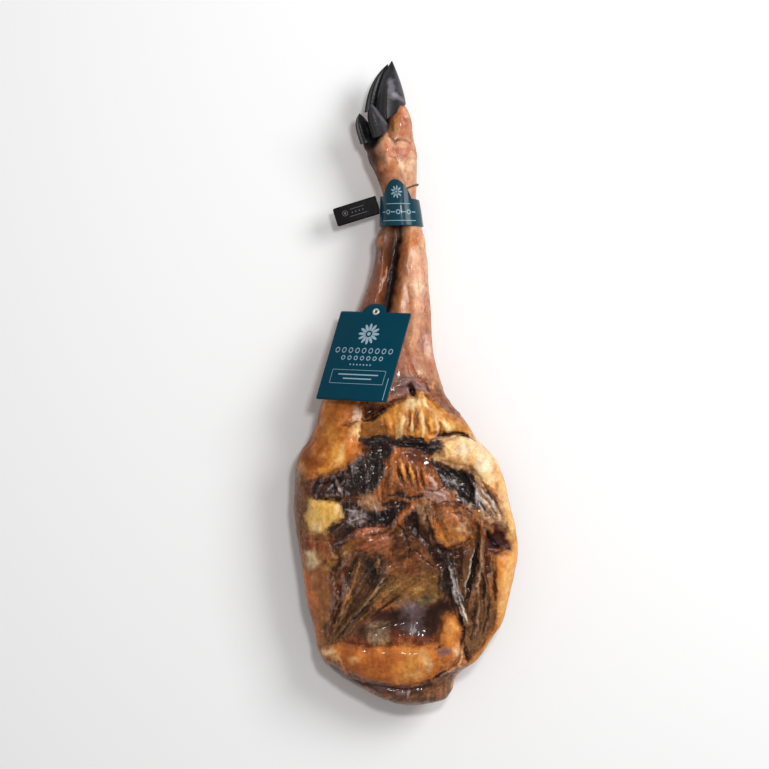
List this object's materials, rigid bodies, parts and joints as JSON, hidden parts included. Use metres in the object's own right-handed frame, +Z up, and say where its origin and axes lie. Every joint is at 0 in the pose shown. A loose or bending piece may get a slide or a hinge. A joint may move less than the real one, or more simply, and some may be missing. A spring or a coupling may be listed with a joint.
{
  "type": "cured ham",
  "caption": "Whole cured shoulder ham with its black trotter, lying cut side up, with a wrist band, a tie, a black strip and a hanging card.",
  "frame": {"origin": "middle of the flat on the underside that the ham rests on", "axes": "+Z up, out of the cut face; +Y from the butt along the shank to the claws; +X to the right of the ham seen from above"},
  "size_m": [0.2455, 0.71, 0.1223],
  "materials": {
    "ham": "uneven, oily, with dark glossy lean meat and pale fat",
    "horn": "satin black horn",
    "print": "glossy teal print",
    "card": "satin dark teal card with pale print",
    "strip": "satin black",
    "twine": "matte brown",
    "metal": "bright"
  },
  "bodies": {
    "root": {"ham": "ham", "claw_near": "horn", "claw_far": "horn", "dewclaw_near": "horn", "dewclaw_far": "horn", "wrist_band": "print", "wrist_tie": "twine", "black_strip": "strip", "hang_tag": "card", "eyelet": "metal"}
  },
  "joints": []
}
